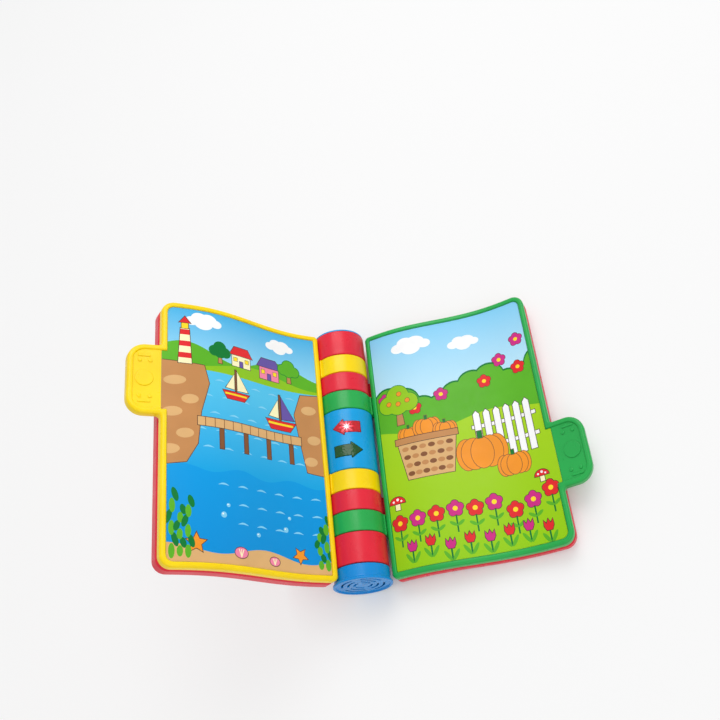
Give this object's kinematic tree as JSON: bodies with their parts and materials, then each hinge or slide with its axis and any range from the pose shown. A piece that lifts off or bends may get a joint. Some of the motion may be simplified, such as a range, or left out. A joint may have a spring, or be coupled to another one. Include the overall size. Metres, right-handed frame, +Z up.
{
  "type": "electronic sound book",
  "caption": "Toy sound book with wavy plastic pages and covers that turn on a banded spine with two arrow lamps and a slotted speaker cap.",
  "frame": {"origin": "on the table, under the spine axis, on the flat foot of the battery door", "axes": "+Z up, +X from the spine towards the back cover's outer edge, +Y along the spine away from the speaker cap"},
  "size_m": [0.3257, 0.2304, 0.1805],
  "materials": {
    "red_plastic": "moulded, soft gloss",
    "yellow_plastic": "moulded, soft gloss",
    "green_plastic": "moulded, soft gloss",
    "blue_plastic": "moulded, soft gloss",
    "printed_card": "printed card with a gloss film",
    "printed_card_green": "printed card with a gloss film",
    "red_lens": "clear red lens, lit",
    "green_lens": "clear green lens, unlit",
    "plated_steel": "plated",
    "black_plastic": "matte",
    "board": "circuit board",
    "cell": "printed sleeve, no print"
  },
  "bodies": {
    "spine": {"spine_tube": "blue_plastic", "centre_housing_top": "blue_plastic", "centre_housing_bottom": "blue_plastic", "red_arrow_lens": "red_lens", "green_arrow_lens": "green_lens", "battery_door": "blue_plastic", "speaker_cap": "blue_plastic", "speaker": "black_plastic", "far_end_cap": "blue_plastic", "cell_left": "cell", "cell_right": "cell", "cell_cradle": "black_plastic", "spring_plate": "plated_steel", "contact_plate": "plated_steel", "circuit_board": "board", "red_light": "red_lens", "green_light": "green_lens", "power_switch_body": "black_plastic", "page_sensor_strip": "board", "battery_door_screw": "plated_steel", "housing_screw_near": "plated_steel", "housing_screw_far": "plated_steel", "back_cover_shell": "red_plastic", "back_cover_panel": "red_plastic", "back_cover_card": "printed_card_green", "back_cover_ring_far": "red_plastic", "back_cover_ring_near": "red_plastic"},
    "front_cover": {"front_cover_shell": "red_plastic", "front_cover_panel": "red_plastic", "front_cover_card": "printed_card", "front_cover_magnet": "plated_steel", "front_cover_ring_far": "red_plastic", "front_cover_ring_near": "red_plastic"},
    "yellow_page": {"yellow_page_frame": "yellow_plastic", "yellow_page_card_front": "printed_card", "yellow_page_card_back": "printed_card", "yellow_page_magnet": "plated_steel", "yellow_page_ring_far": "yellow_plastic", "yellow_page_ring_near": "yellow_plastic"},
    "green_page": {"green_page_frame": "green_plastic", "green_page_card_front": "printed_card_green", "green_page_card_back": "printed_card_green", "green_page_magnet": "plated_steel", "green_page_ring_far": "green_plastic", "green_page_ring_near": "green_plastic"},
    "power_switch": {"power_switch_knob": "black_plastic"}
  },
  "joints": [
    {"name": "front_cover_hinge", "type": "hinge", "parent": "spine", "child": "front_cover", "pos_m": [0, 0, 0.0246], "axis": [0, 1, 0], "range_deg": [-54, 125.5]},
    {"name": "yellow_page_turn", "type": "hinge", "parent": "front_cover", "child": "yellow_page", "pos_m": [0, 0, 0.0246], "axis": [0, -1, 0], "range_deg": [-125.5, 0]},
    {"name": "green_page_turn", "type": "hinge", "parent": "spine", "child": "green_page", "pos_m": [0, 0, 0.0246], "axis": [0, 1, 0], "range_deg": [-125.5, 0]},
    {"name": "power_switch_slide", "type": "slide", "parent": "spine", "child": "power_switch", "axis": [1, 0, 0], "range_m": [0, 0.008]}
  ]
}
